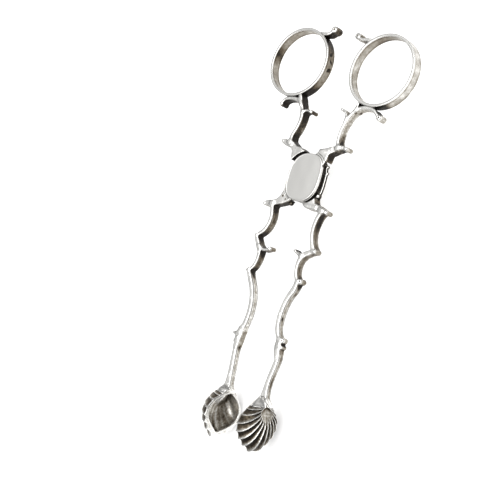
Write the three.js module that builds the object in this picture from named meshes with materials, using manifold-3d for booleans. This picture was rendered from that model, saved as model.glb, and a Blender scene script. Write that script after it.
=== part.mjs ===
// Scissor tongs in cast silver, of the kind that lifts sugar or ice. Two scrolled arms cross at an oval
// box hinge, with finger rings above it and a pair of scallop shells below. Each arm is soldered up from
// separate castings, and a rivet hidden under two cover plates joins the arms.
// Millimetres. The origin is on the hinge axis at the back cover's outer face, +Y runs towards the finger
// rings, and +Z comes out of the front cover.

import * as THREE from "three";
import { mergeVertices } from "three/addons/utils/BufferGeometryUtils.js";
import Module from "manifold-3d";

const wasm = await Module();
wasm.setup();

// ---- Driving dimensions ----

const DEPTH = 3.4; // hinge and finger rings, along Z
const MIDDLE = DEPTH / 2;
const SOLDER = 0.04; // film between two pieces of one arm
const RUN = 0.05; // running clearance inside the hinge
const CUT = 200; // larger than the object, for half-space cuts

const RING = { inner: 9.55, wall: 0.85, edge: 0.18, sides: 56 };

// The hinge is a sandwich: cover, hinge plate, washer, hinge plate, cover.
// Its oval is wider on one side, and squarer in the two corners where its arm's roots meet it.
const PLATE = { wide: 6, narrow: 5.45, halfHeight: 7, squareAtRoots: 3.1, squareBetween: 2.3, points: 48 };
const COVER = { thickness: 0.5, margin: 0.12 };
const HINGE_PLATE = { thickness: 0.85, lugRise: 0.42 };
const CASTING_RADIUS = 7.65; // castings stay outside this circle, so the other arm's plate clears them
const RIVET = { shaft: 1.1, head: 2.2, headThickness: 0.38, sides: 32 };
const WASHER_RADIUS = 3.6;

// Castings are strips on edge. Their depth falls in a straight line from the hinge to the shells.
const STRIP = { spacing: 1.1, capSteps: 5, knobSides: 14 };
const DEPTH_SHARE = { atHinge: 0.97, atShells: 0.62, shellsY: -62 };

const SHELL = {
  halfBreadth: 6.3,
  length: 14.8,
  umboInset: 1.2,
  umboHeight: 3.3,
  height: 6.0,
  wall: 1,
  flutes: 15,
  fluteDepth: 0.6,
  fluteSpan: THREE.MathUtils.degToRad(205),
  scallop: 0.04, // how far the rim draws in at a flute, as a share of its reach
  up: 6.2, // from the rim's placing point to its top
  neck: { length: 1.1, overrun: 0.5 },
  around: 90,
  rows: 6,
};

// ---- Materials ----

const silver = (name, color, roughness) =>
  new THREE.MeshStandardMaterial({ name, color, roughness, metalness: 1 });
const POLISHED = silver("polished_silver", 0xe6e4de, 0.18);
const CAST = silver("cast_silver", 0xcfcbc2, 0.3);
const SHELL_SILVER = silver("shell_silver", 0xc2bba8, 0.34);

// ---- Plans of the two arms ----
// A strip is a list of stations [x, y, width] along its centre line. A knob is [x, y, radius]. A bead is
// [x, y, z, radius], and those of a hinge plate are placed as if it were the front one. A shoulder is a
// strip that widens the hinge plate beside its cover.

const FRONT = {
  ring: [15.4, 32.2],
  ringSpur: {
    strips: [[[9.2, 40.4, 1.2], [7.6, 40.6, 1.0], [6.0, 40.6, 0.9], [4.9, 41.0, 0.9], [4.4, 41.6, 0.9]]],
    knobs: [[4.25, 41.6, 0.95]],
  },
  handleRoot: [[1.9, 3.1, 5.4], [3.7, 6.0, 4.3], [5.3, 7.9, 2.2], [7.2, 8.9, 1.8], [8.5, 9.5, 1.4]],
  handle: {
    strips: [
      [[2.9, 8.1, 1.0], [4.5, 8.2, 1.3], [6.4, 8.8, 1.2]],
      [[8.2, 9.4, 1.4], [9.8, 9.7, 1.2], [11.1, 9.6, 0.9]],
      [[8.4, 9.5, 1.3], [7.75, 11.5, 0.95], [7.7, 13.5, 0.9], [8.0, 15.5, 0.9], [8.6, 17.4, 0.95],
        [9.5, 19.1, 1.0], [10.8, 20.5, 1.05], [12.6, 21.3, 1.05], [14.8, 21.4, 1.05], [16.8, 20.8, 1.0],
        [18.1, 19.8, 0.9]],
      [[8.3, 17.2, 0.9], [8.1, 18.9, 0.7], [7.3, 19.9, 0.6], [6.3, 20.3, 0.55]],
      [[10.7, 20.6, 0.9], [11.1, 22.8, 0.7]],
    ],
    knobs: [[11.2, 9.5, 0.6], [18.9, 19.1, 0.85], [6.1, 20.3, 0.4]],
  },
  armRoot: [
    [-2.0, -3.2, 5.4], [-4.2, -5.6, 4.2], [-5.7, -7.2, 2.7], [-7.4, -8.2, 1.9], [-8.8, -8.8, 1.6],
  ],
  shoulders: [[[-3.2, -4.0, 5.6], [-3.9, -1.6, 5.0], [-4.4, 0.8, 3.6], [-4.6, 2.2, 2.4]]],
  plateBeads: [],
  arm: {
    strips: [
      [[-8.6, -8.7, 1.6], [-10.3, -8.9, 1.7], [-11.6, -9.2, 1.1]],
      [[-8.9, -9.0, 1.5], [-8.2, -11.0, 1.2], [-7.9, -13.0, 1.15], [-8.2, -15.0, 1.15], [-9.0, -16.7, 1.15],
        [-10.3, -18.0, 1.1], [-11.5, -18.8, 0.8]],
      [[-11.3, -18.8, 1.0], [-10.5, -20.1, 1.4], [-9.5, -21.6, 1.5], [-8.7, -23.2, 1.4], [-8.55, -24.8, 1.15],
        [-8.8, -26.4, 1.05], [-9.6, -28.0, 1.05], [-10.6, -28.8, 0.9], [-11.2, -29.0, 0.6]],
      [[-9.2, -21.7, 1.3], [-7.3, -22.3, 0.95], [-5.9, -22.0, 0.85], [-5.3, -21.7, 0.8]],
    ],
    knobs: [[-11.8, -9.3, 0.5], [-5.1, -21.6, 0.6]],
    beads: [[-3.5, -7.6, 1.2, 0.8]],
  },
  knuckleY: -29.3,
  bow: {
    strips: [[[-10.6, -28.8, 1.2], [-9.3, -31.0, 1.45], [-7.9, -33.2, 1.45], [-6.9, -35.5, 1.45],
      [-6.3, -38.2, 1.45], [-6.15, -41.0, 1.45], [-6.5, -43.6, 1.45], [-7.3, -46.2, 1.5]]],
    knobs: [],
  },
  collarY: [-46.0, -49.4],
  collar: {
    strips: [
      [[-7.1, -45.4, 2.1], [-7.4, -47.4, 2.3], [-7.4, -50.0, 1.7]],
      [[-7.3, -46.4, 1.3], [-8.6, -46.9, 1.1], [-9.3, -47.0, 0.8]],
      [[-7.4, -48.3, 1.4], [-8.3, -49.0, 0.9]],
    ],
    knobs: [],
  },
  stem: [[-7.4, -48.5, 1.6], [-7.4, -50.5, 1.5], [-7.15, -53.0, 1.5], [-6.8, -56.0, 1.55], [-6.5, -59.0, 1.65],
    [-6.35, -62.4, 2.2]],
  shell: { rim: [-5.25, -68.8], facing: 1, skew: THREE.MathUtils.degToRad(4) },
};

const BACK = {
  ring: [-14.2, 33.05],
  ringSpur: {
    strips: [
      [[-9.4, 41.7, 1.2], [-7.8, 41.8, 1.0], [-6.3, 41.9, 0.9], [-5.3, 42.5, 0.9], [-4.8, 43.2, 0.9]],
    ],
    knobs: [[-4.65, 43.2, 1.05]],
  },
  handleRoot: [[-2.2, 3.3, 6.2], [-4.6, 5.8, 4.7], [-6.4, 7.5, 2.3], [-7.6, 8.6, 1.8], [-8.9, 9.4, 1.6]],
  handle: {
    strips: [
      [[-8.3, 8.8, 1.5], [-10.2, 9.1, 1.8], [-11.4, 9.4, 1.2]],
      [[-8.9, 9.4, 1.4], [-8.8, 11.4, 1.1], [-7.95, 13.4, 1.05], [-7.5, 15.4, 1.1], [-7.45, 17.4, 1.25],
        [-8.0, 19.3, 1.15], [-9.1, 20.9, 1.1], [-10.9, 21.9, 1.1], [-13.2, 22.1, 1.05], [-15.2, 21.6, 0.95],
        [-16.2, 20.6, 0.85]],
      [[-7.5, 18.4, 1.1], [-6.2, 18.95, 0.75], [-4.8, 18.8, 0.7]],
      [[-8.9, 20.6, 1.2], [-9.7, 22.4, 1.4], [-10.4, 24.0, 0.9]],
    ],
    knobs: [[-11.5, 9.4, 0.55], [-16.2, 20.2, 0.7], [-4.4, 18.7, 0.55]],
  },
  armRoot: [[2.0, -3.3, 5.6], [3.7, -6.3, 4.1], [5.6, -7.4, 2.0], [7.6, -7.9, 1.7], [9.0, -8.5, 1.5]],
  shoulders: [],
  plateBeads: [
    [5.1, -4.4, 2.35, 0.88], [-5.1, 4.3, 2.35, 0.7], [5.35, 4.1, 2.5, 0.5], [5.9, 2.3, 2.5, 0.42],
  ],
  arm: {
    strips: [
      [[3.1, -7.8, 0.9], [4.6, -7.9, 1.2], [6.6, -8.0, 1.1]],
      [[8.6, -8.3, 1.5], [9.7, -8.4, 1.2], [10.4, -8.6, 1.0]],
      [[8.9, -8.7, 1.4], [8.2, -10.6, 1.25], [7.85, -12.5, 1.2], [7.85, -14.2, 1.2], [8.2, -16.0, 1.2],
        [8.95, -17.8, 1.3], [9.6, -18.9, 1.4], [10.5, -19.6, 1.0]],
      [[10.4, -19.6, 1.0], [8.7, -20.3, 1.5], [7.2, -21.2, 1.6], [6.3, -22.5, 1.4], [6.0, -24.0, 1.15],
        [6.15, -25.8, 1.05], [6.7, -27.4, 1.1], [7.5, -28.5, 1.2]],
      [[6.6, -21.6, 1.2], [5.2, -21.2, 0.85], [4.1, -20.7, 0.7]],
    ],
    knobs: [[10.6, -8.6, 0.65], [10.6, -19.6, 0.45], [3.9, -20.6, 0.5], [8.4, -28.4, 0.8]],
    beads: [],
  },
  knuckleY: -29.3,
  bow: {
    strips: [
      [[7.5, -28.8, 1.4], [7.0, -31.0, 1.6], [6.1, -32.9, 1.5], [5.4, -35.0, 1.45], [5.0, -37.5, 1.45],
        [4.95, -40.0, 1.4], [5.4, -42.5, 1.35], [6.3, -44.2, 1.3], [7.4, -45.2, 1.35]],
    ],
    knobs: [[8.1, -45.1, 0.8]],
  },
  collarY: [-46.0, -48.7],
  collar: {
    strips: [
      [[7.1, -45.4, 1.9], [7.1, -46.9, 2.1], [7.6, -49.2, 1.6]],
      [[7.3, -46.6, 1.2], [8.4, -46.9, 1.0]],
    ],
    knobs: [],
  },
  stem: [[7.5, -48.2, 1.6], [8.05, -50.4, 1.5], [7.85, -52.6, 1.5], [7.45, -55.0, 1.5], [7.2, -58.0, 1.55],
    [7.2, -61.8, 2.2]],
  shell: { rim: [6.1, -68.4], facing: -1, skew: THREE.MathUtils.degToRad(-6) },
};

const CLOSING_ANGLE = THREE.MathUtils.degToRad(9.4); // between the two shells' rims at rest
const SHELL_TURN = THREE.MathUtils.degToRad(-12); // both shells' rims are turned this far about the arms

// ---- Solids ----

function solidOf(geometry) {
  const bare = geometry.index ? geometry.toNonIndexed() : geometry.clone();
  bare.deleteAttribute("normal");
  bare.deleteAttribute("uv");
  const merged = mergeVertices(bare, 1e-4);
  return new wasm.Manifold(
    new wasm.Mesh({
      numProp: 3,
      vertProperties: new Float32Array(merged.attributes.position.array),
      triVerts: new Uint32Array(merged.index.array),
    }),
  );
}

const unionOf = (solids) => solids.reduce((whole, solid) => whole.add(solid));

function cylinder(radius, low, high, sides, [x, y] = [0, 0]) {
  const geometry = new THREE.CylinderGeometry(radius, radius, high - low, sides);
  return solidOf(geometry.rotateX(Math.PI / 2).translate(x, y, (low + high) / 2));
}

function sphere(x, y, z, radius) {
  return solidOf(new THREE.SphereGeometry(radius, 14, 10).translate(x, y, z));
}

function prism(points, low, high) {
  const shape = new THREE.Shape(points);
  const geometry = new THREE.ExtrudeGeometry(shape, { depth: high - low, bevelEnabled: false });
  return solidOf(geometry.translate(0, 0, low));
}

// Everything between two heights along Y.
function slab(bottom, top) {
  const geometry = new THREE.BoxGeometry(CUT, top - bottom, CUT);
  return solidOf(geometry.translate(0, (top + bottom) / 2, 0));
}

function arc(x, y, radius, from, steps) {
  return Array.from({ length: steps - 1 }, (_, i) => {
    const angle = from - ((i + 1) / steps) * Math.PI;
    return new THREE.Vector2(x + radius * Math.cos(angle), y + radius * Math.sin(angle));
  });
}

// The outline of a tapered strip with round ends.
function stripOutline(stations) {
  const line = new THREE.CatmullRomCurve3(
    stations.map(([x, y, width]) => new THREE.Vector3(x, y, width)),
    false,
    "centripetal",
  );
  const steps = Math.max(3, Math.round(line.getLength() / STRIP.spacing));
  const centre = line.getSpacedPoints(steps);
  const headings = centre.map((_, i) => {
    const before = centre[Math.max(0, i - 1)];
    const after = centre[Math.min(steps, i + 1)];
    return Math.atan2(after.y - before.y, after.x - before.x);
  });
  const side = (sign) =>
    centre.map((p, i) => {
      const angle = headings[i] + (sign * Math.PI) / 2;
      return new THREE.Vector2(p.x + (p.z / 2) * Math.cos(angle), p.y + (p.z / 2) * Math.sin(angle));
    });
  const last = centre[steps];
  return [
    ...side(1),
    ...arc(last.x, last.y, last.z / 2, headings[steps] + Math.PI / 2, STRIP.capSteps),
    ...side(-1).reverse(),
    ...arc(centre[0].x, centre[0].y, centre[0].z / 2, headings[0] - Math.PI / 2, STRIP.capSteps),
  ];
}

// A casting: strips and knobs, as deep as their distance from the hinge allows.
function casting({ strips, knobs, beads = [] }) {
  const depthShare = (y) =>
    THREE.MathUtils.mapLinear(
      Math.min(y, 0), 0, DEPTH_SHARE.shellsY, DEPTH_SHARE.atHinge, DEPTH_SHARE.atShells,
    );
  const flat = unionOf([
    ...strips.map((stations) => prism(stripOutline(stations), 0, DEPTH)),
    ...knobs.map(([x, y, radius]) => cylinder(radius, 0, DEPTH, STRIP.knobSides, [x, y])),
  ]);
  const tapered = flat.warp((vertex) => {
    vertex[2] = MIDDLE + (vertex[2] - MIDDLE) * depthShare(vertex[1]);
  });
  return unionOf([tapered, ...beads.map((bead) => sphere(...bead))]);
}

const outsideHinge = (solid) =>
  solid.subtract(cylinder(CASTING_RADIUS, -1, DEPTH + 1, 72));
const outsideRing = (solid, centre) =>
  solid.subtract(cylinder(RING.inner + RING.wall + SOLDER, -1, DEPTH + 1, 96, centre));

// ---- Pieces ----

function fingerRing([x, y]) {
  const { inner, wall, edge, sides } = RING;
  const outer = inner + wall;
  const profile = [
    [inner, edge], [inner + edge, 0], [outer - edge, 0], [outer, edge],
    [outer, DEPTH - edge], [outer - edge, DEPTH], [inner + edge, DEPTH], [inner, DEPTH - edge],
    [inner, edge],
  ].map(([radius, height]) => new THREE.Vector2(radius, height));
  return solidOf(new THREE.LatheGeometry(profile, sides).rotateX(Math.PI / 2).translate(x, y, 0));
}

// The hinge's squarish oval, grown all round by margin. The back arm's is the other way round.
function oval(margin, isBack) {
  return Array.from({ length: PLATE.points }, (_, i) => {
    const angle = (i / PLATE.points) * 2 * Math.PI;
    const [across, up] = [Math.cos(angle), Math.sin(angle)];
    const power = 2 / (across * up > 0 ? PLATE.squareAtRoots : PLATE.squareBetween);
    const halfWidth = across < 0 ? PLATE.wide : PLATE.narrow;
    const x = Math.sign(across) * Math.abs(across) ** power * (halfWidth + margin);
    const y = Math.sign(up) * Math.abs(up) ** power * (PLATE.halfHeight + margin);
    return new THREE.Vector2(isBack ? -x : x, y);
  });
}

// The front half of the hinge, from the cover's face inwards. The back half is its mirror image.
const COVER_FLOOR = DEPTH - COVER.thickness;
const PLATE_FLOOR = COVER_FLOOR - HINGE_PLATE.thickness;
const HEAD_FLOOR = COVER_FLOOR - RIVET.headThickness - RUN;

function hingePlate(roots, beads, isBack) {
  const bore = cylinder(RIVET.shaft + RUN, -1, DEPTH + 1, RIVET.sides);
  const headSeat = cylinder(RIVET.head + RUN, HEAD_FLOOR, DEPTH, RIVET.sides);
  const lugs = unionOf(
    roots.map((stations) =>
      prism(stripOutline(stations), PLATE_FLOOR, COVER_FLOOR + HINGE_PLATE.lugRise),
    ),
  ).intersect(cylinder(CASTING_RADIUS - SOLDER, -1, DEPTH + 1, 72));
  const plate = prism(oval(0, isBack), PLATE_FLOOR, COVER_FLOOR - SOLDER);
  const front = unionOf([plate, lugs, ...beads.map((bead) => sphere(...bead))])
    .subtract(prism(oval(SOLDER - COVER.margin, isBack), COVER_FLOOR - SOLDER, DEPTH + 1))
    .subtract(bore)
    .subtract(headSeat);
  return isBack ? faceBack(front) : front;
}

const coverPlate = (isBack) => {
  const bevel = COVER.thickness / 2;
  const body = prism(oval(-COVER.margin, isBack), COVER_FLOOR, DEPTH - bevel);
  const face = prism(oval(-COVER.margin - bevel, isBack), DEPTH - bevel, DEPTH);
  const front = body.add(face);
  return isBack ? faceBack(front) : front;
};

// Turns a front piece into the matching back piece.
function faceBack(solid) {
  return solid.mirror([0, 0, 1]).translate([0, 0, DEPTH]);
}

function rivet() {
  const headEnd = COVER_FLOOR - RUN / 2;
  const headStart = HEAD_FLOOR + RUN / 2;
  const upper = [[RIVET.shaft, headStart], [RIVET.head, headStart], [RIVET.head, headEnd], [0, headEnd]];
  const lower = upper.map(([radius, z]) => [radius, DEPTH - z]).reverse();
  const profile = [...lower, ...upper].map(([radius, z]) => new THREE.Vector2(radius, z));
  return solidOf(new THREE.LatheGeometry(profile, RIVET.sides).rotateX(Math.PI / 2));
}

function washer() {
  const low = DEPTH - PLATE_FLOOR + RUN;
  const high = PLATE_FLOOR - RUN;
  return cylinder(WASHER_RADIUS, low, high, 40).subtract(
    cylinder(RIVET.shaft + RUN, low - 1, high + 1, RIVET.sides),
  );
}

// A scallop shell: a domed fan of flutes from the umbo, hollow behind. In its own frame the rim lies in
// the plane x = 0, the dome rises towards -x, y runs down the shell and z across it.
function scallop() {
  const { halfBreadth, length, umboInset, umboHeight, height, wall, around, rows } = SHELL;
  const rimShape = [
    [0, 0.14], [0.08, 0.33], [0.19, 0.62], [0.33, 0.9], [0.47, 1], [0.61, 0.95], [0.75, 0.76],
    [0.87, 0.49], [0.96, 0.2],
  ];
  const half = rimShape.map(([down, across]) => [down * length, across * halfBreadth]);
  const tip = [[length, 0]];
  const loop = [...half, ...tip, ...half.map(([down, across]) => [down, -across]).reverse()];
  const rim = new THREE.CatmullRomCurve3(
    loop.map(([down, across]) => new THREE.Vector3(0, down, across)),
    true,
    "centripetal",
  ).getSpacedPoints(around).slice(0, around);

  // 1 on a crest between two flutes and 0 in the bottom of a flute.
  const crest = (angle) => {
    const turn = (angle / SHELL.fluteSpan + 0.5) * SHELL.flutes;
    return Math.abs(2 * (turn - Math.floor(turn)) - 1);
  };
  const rise = (share, angle, top) => {
    const swell = THREE.MathUtils.smoothstep(share, 0, 0.45) * (0.5 + 0.5 * Math.cos(angle));
    return Math.sqrt(1 - share ** 3) * (umboHeight + (top - umboHeight) * swell);
  };
  const point = (target, share, inset, fluted) => {
    const across = target.z;
    const down = target.y - umboInset;
    const angle = Math.atan2(across, down);
    const reach = Math.hypot(down, across);
    const groove = Math.abs(angle) < SHELL.fluteSpan / 2 ? 1 - crest(angle) : 0;
    const length = fluted ? reach * (1 - SHELL.scallop * groove * share) : reach - inset;
    const sunk = fluted ? SHELL.fluteDepth * groove * Math.sin(Math.PI * Math.min(1, share * 0.75 + 0.1)) : 0;
    const top = rise(share, angle, height) - inset - (share < 1 ? sunk : 0);
    return [-Math.max(share < 1 ? 0.02 : 0, top), umboInset + length * share * Math.cos(angle),
      length * share * Math.sin(angle)];
  };
  const vertices = [];
  const layer = (inset, fluted) => {
    vertices.push([-(umboHeight - inset), umboInset, 0]);
    for (let row = 1; row <= rows; row++) {
      const share = Math.sin((row / rows) * (Math.PI / 2));
      for (const target of rim) vertices.push(point(target, share, inset, fluted));
    }
  };
  layer(0, true);
  layer(wall, false);
  const layerSize = 1 + rows * around;
  const index = (start, row, i) => start + 1 + (row - 1) * around + (i % around);
  const triangles = [];
  for (let i = 0; i < around; i++) {
    triangles.push([0, index(0, 1, i + 1), index(0, 1, i)]);
    triangles.push([layerSize, index(layerSize, 1, i), index(layerSize, 1, i + 1)]);
    for (let row = 1; row < rows; row++) {
      const quad = (start) => [
        index(start, row, i), index(start, row, i + 1), index(start, row + 1, i + 1), index(start, row + 1, i),
      ];
      const [a, b, c, d] = quad(0);
      triangles.push([a, b, c], [a, c, d]);
      const [e, f, g, h] = quad(layerSize);
      triangles.push([e, g, f], [e, h, g]);
    }
    const [a, b] = [index(0, rows, i), index(0, rows, i + 1)];
    const [c, d] = [index(layerSize, rows, i), index(layerSize, rows, i + 1)];
    triangles.push([a, b, d], [a, d, c]);
  }
  return { vertices, triangles };
}

// The neck swells from the stem's end into the back of the shell.
function neck(stemEnd, stemDepth) {
  const sections = [
    { down: stemEnd, front: -0.35, back: -2.25, breadth: stemDepth / 2 },
    { down: 0.2, front: -0.3, back: -2.5, breadth: 1.6 },
    { down: 1.2, front: -0.9, back: -3.1, breadth: 2.7 },
    { down: 2.4, front: -2.6, back: -3.7, breadth: 2.6 },
  ];
  const sides = 16;
  const vertices = [];
  for (const { down, front, back, breadth } of sections)
    for (let i = 0; i < sides; i++) {
      const angle = (i / sides) * 2 * Math.PI;
      const round = (value) => Math.sign(value) * Math.abs(value) ** 0.7;
      const out = (front + back) / 2 + ((front - back) / 2) * round(Math.cos(angle));
      vertices.push([out, down, breadth * round(Math.sin(angle))]);
    }
  const triangles = [];
  for (let ring = 0; ring < sections.length - 1; ring++)
    for (let i = 0; i < sides; i++) {
      const [a, b] = [ring * sides + i, ring * sides + ((i + 1) % sides)];
      triangles.push([a, b, b + sides], [a, b + sides, a + sides]);
    }
  const last = (sections.length - 1) * sides;
  for (let i = 1; i < sides - 1; i++) {
    triangles.push([0, i + 1, i]);
    triangles.push([last, last + i, last + i + 1]);
  }
  return { vertices, triangles };
}

const shellTopY = (rimY) => rimY + SHELL.up + SHELL.neck.length;

// Places a shell's surface on its arm. Mirroring turns the faces inside out, so they are wound back.
function shellPiece({ rim: [x, y], facing, skew }) {
  const lean = (facing * CLOSING_ANGLE) / 2;
  const matrix = new THREE.Matrix4()
    .makeTranslation(x, y, MIDDLE)
    .multiply(new THREE.Matrix4().makeRotationZ(-lean))
    .multiply(new THREE.Matrix4().makeRotationX(-skew))
    .multiply(new THREE.Matrix4().makeRotationY(SHELL_TURN))
    .multiply(new THREE.Matrix4().makeScale(facing, -1, 1))
    .multiply(new THREE.Matrix4().makeTranslation(0, -SHELL.up, 0));
  const place = ({ vertices, triangles }) => {
    const wound = facing < 0 ? triangles.map(([a, b, c]) => [a, c, b]) : triangles;
    const geometry = new THREE.BufferGeometry();
    geometry.setAttribute("position", new THREE.Float32BufferAttribute(vertices.flat(), 3));
    geometry.setIndex(wound.flat());
    return solidOf(geometry.applyMatrix4(matrix));
  };
  const stemEnd = -SHELL.neck.length - SHELL.neck.overrun;
  const surfaces = [scallop(), neck(stemEnd, DEPTH * DEPTH_SHARE.atShells)];
  return unionOf(surfaces.map(place)).intersect(slab(-CUT, shellTopY(y)));
}

// ---- Assembly ----

function meshOf(name, solid, material) {
  const { vertProperties, triVerts } = solid.getMesh();
  const geometry = new THREE.BufferGeometry();
  geometry.setAttribute("position", new THREE.BufferAttribute(vertProperties, 3));
  geometry.setIndex(new THREE.BufferAttribute(triVerts, 1));
  const faceted = geometry.toNonIndexed();
  faceted.computeVertexNormals();
  const mesh = new THREE.Mesh(faceted, material);
  mesh.name = name;
  return mesh;
}

function arm(name, plan, isBack) {
  const group = new THREE.Group();
  const add = (part, solid, material) => group.add(meshOf(`${name}_${part}`, solid, material));
  const withRoot = (root, { strips, knobs, beads }) =>
    outsideHinge(casting({ strips: [root, ...strips], knobs, beads }));
  const [collarTop, collarBottom] = plan.collarY;
  const stemEnd = shellTopY(plan.shell.rim[1]) + SOLDER;
  const plateStrips = [plan.handleRoot, plan.armRoot, ...plan.shoulders];
  const stem = casting({ strips: [plan.stem], knobs: [] });
  add("cover_plate", coverPlate(isBack), POLISHED);
  add("hinge_plate", hingePlate(plateStrips, plan.plateBeads, isBack), CAST);
  add("finger_ring", fingerRing(plan.ring), POLISHED);
  add("ring_spur", outsideRing(casting(plan.ringSpur), plan.ring), CAST);
  add("handle_scroll", outsideRing(withRoot(plan.handleRoot, plan.handle), plan.ring), CAST);
  add("arm_scroll", withRoot(plan.armRoot, plan.arm).intersect(slab(plan.knuckleY, 0)), CAST);
  add("arm_bow", casting(plan.bow).intersect(slab(collarTop, plan.knuckleY - SOLDER)), CAST);
  add("collar", casting(plan.collar).intersect(slab(collarBottom, collarTop - SOLDER)), CAST);
  add("grip_stem", stem.intersect(slab(stemEnd, collarBottom - SOLDER)), CAST);
  add("shell", shellPiece(plan.shell), SHELL_SILVER);
  return group;
}

const tongs = new THREE.Group();
tongs.add(arm("front", FRONT, false));
tongs.add(arm("back", BACK, true));
tongs.add(meshOf("pivot_rivet", rivet(), CAST));
tongs.add(meshOf("hinge_washer", washer(), CAST));

export default tongs;
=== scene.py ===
"""Scissor tongs in cast silver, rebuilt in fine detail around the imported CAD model.

Each casting is sculpted as a distance field, sampled on a grid and meshed. The rings, the cover plates, the
rivet and the washer are turned profiles. The sculpting works in millimetres in the frame of the CAD model,
and a mesh is scaled to metres as it is made.
"""

import math

import bpy
import numpy as np
from mathutils import Matrix, Vector


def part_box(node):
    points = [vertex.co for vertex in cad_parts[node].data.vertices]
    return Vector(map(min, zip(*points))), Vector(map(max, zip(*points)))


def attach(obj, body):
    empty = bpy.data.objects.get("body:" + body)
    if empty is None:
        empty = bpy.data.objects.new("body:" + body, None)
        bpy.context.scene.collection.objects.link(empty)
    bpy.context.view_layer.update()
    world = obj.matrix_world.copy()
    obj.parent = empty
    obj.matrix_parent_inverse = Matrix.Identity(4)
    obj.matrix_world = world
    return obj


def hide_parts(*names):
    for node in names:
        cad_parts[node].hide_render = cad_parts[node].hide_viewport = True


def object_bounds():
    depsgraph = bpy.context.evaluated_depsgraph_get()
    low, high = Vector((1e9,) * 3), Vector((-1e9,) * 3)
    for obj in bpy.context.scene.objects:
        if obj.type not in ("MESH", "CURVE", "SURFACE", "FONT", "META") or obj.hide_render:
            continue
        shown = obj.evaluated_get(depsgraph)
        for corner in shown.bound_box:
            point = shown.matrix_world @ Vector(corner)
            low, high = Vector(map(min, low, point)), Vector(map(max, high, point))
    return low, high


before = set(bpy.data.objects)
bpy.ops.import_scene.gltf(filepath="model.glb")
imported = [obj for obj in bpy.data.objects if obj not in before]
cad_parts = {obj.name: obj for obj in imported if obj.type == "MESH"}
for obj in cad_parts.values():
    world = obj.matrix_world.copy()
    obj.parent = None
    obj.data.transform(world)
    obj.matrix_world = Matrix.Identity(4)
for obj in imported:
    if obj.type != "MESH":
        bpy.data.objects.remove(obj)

cad_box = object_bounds()

MM = 0.001
rng = np.random.default_rng(1765)


def node_box(node):
    """A CAD node's lowest and highest corner, in millimetres."""
    return [np.array(corner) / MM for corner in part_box(node)]


# ---- Sizes read from the frame ----

FRONT_COVER = node_box("front_cover_plate")
DEPTH = FRONT_COVER[1][2]
MIDDLE = DEPTH / 2
COVER_FLOOR = FRONT_COVER[0][2]
PLATE_FLOOR = node_box("front_hinge_plate")[0][2]
LUG_TOP = node_box("front_hinge_plate")[1][2]
RIVET_BOX = node_box("pivot_rivet")
WASHER_BOX = node_box("hinge_washer")
# The front cover is wider to the left of the hinge axis than to the right.
WIDE, NARROW, HALF_HEIGHT = -FRONT_COVER[0][0], FRONT_COVER[1][0], FRONT_COVER[1][1]

# ---- Sizes of the fine surface ----

STEP = 0.11  # grid spacing for castings
SHELL_STEP = 0.085
PAD = 3  # grid points kept clear round a piece
SOLDER = 0.03
OVERLAP = 0.1  # castings of one arm run into each other by this much on each side
EDGE = 0.26  # rounding where a casting's face meets its side wall
CROWN = 0.05  # how far a face swells between its edges
FILLET = 0.5  # blend between two strips of one casting
PITS_PER_MM = 1.2  # of a casting's length
CASTING_RADIUS = 7.65  # the castings stop at this distance from the hinge axis
SQUARE_AT_ROOTS = 3.1  # the hinge's oval is squarer in the two corners where its arm's roots meet it
SQUARE_BETWEEN = 2.3
COVER_MARGIN = 0.12  # the hinge plate stands this far outside its cover
COVER_BEVEL = 0.22
RING_INNER = 9.55
RING_EDGE = 0.22
BORE = 1.15
RIVET = {"clearance": 0.05, "head": 0.405, "edge": 0.06, "seat": 0.45}

# How depth falls from the hinge to the shells, as shares of DEPTH.
DEPTH_SHARE = {"hinge": 0.97, "shells": 0.62, "shells_y": -62.0}

# Side walls: how far they are hollowed, and how deep a groove runs under each face's edge.
SPUR = {"hollow": 0.0, "groove": 0.0}
SCROLL = {"hollow": 0.1, "groove": 0.12}
REEDED = {"hollow": 0.05, "groove": 0.26}

# ---- Plans of the two arms ----
# A strip is a wall style and a list of stations (x, y, width) along its centre line. A knob is (x, y, radius)
# and a bead (x, y, z, radius). A casting may stop at a height along Y, low or high. Its side walls are darkened
# evenly and in blots (x, y, z, radius, amount): tarnish, with painted shade, and in places the painted shadow
# of a nearby part. Dark patches, in the same form, lie on any side.

FRONT_ROOT = [(1.9, 3.1, 5.4), (3.7, 6.0, 4.3), (5.3, 7.9, 2.2), (7.2, 8.9, 1.8), (8.5, 9.5, 1.4)]
FRONT_ARM_ROOT = [(-2.0, -3.2, 5.4), (-4.2, -5.6, 4.2), (-5.7, -7.2, 2.7), (-7.4, -8.2, 1.9),
                  (-8.8, -8.8, 1.6)]
BACK_ROOT = [(-2.2, 3.3, 6.2), (-4.6, 5.8, 4.7), (-6.4, 7.5, 2.3), (-7.6, 8.6, 1.8), (-8.9, 9.4, 1.6)]
BACK_ARM_ROOT = [(2.0, -3.3, 5.6), (3.7, -6.3, 4.1), (5.6, -7.4, 2.0), (7.6, -7.9, 1.7), (9.0, -8.5, 1.5)]
BACK_BEADS = [(5.1, -4.4, 2.35, 0.88), (-5.1, 4.3, 2.35, 0.7), (5.35, 4.1, 2.5, 0.5), (5.9, 2.3, 2.5, 0.42)]
# Beside the front plate, a shoulder joins the arm's root.
SHOULDER = [(-3.2, -4.0, 5.6), (-3.9, -1.6, 5.0), (-4.4, 0.8, 3.6), (-4.6, 2.2, 2.4)]

PLATE_TARNISH_AND_SHADE = {
    "front_hinge_plate": {"even": 0.8, "dark_patches": [(-6.2, -6.0, 3.3, 0.4, 1.0)]},
    "back_hinge_plate": {"even": 0.75},
}

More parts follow.
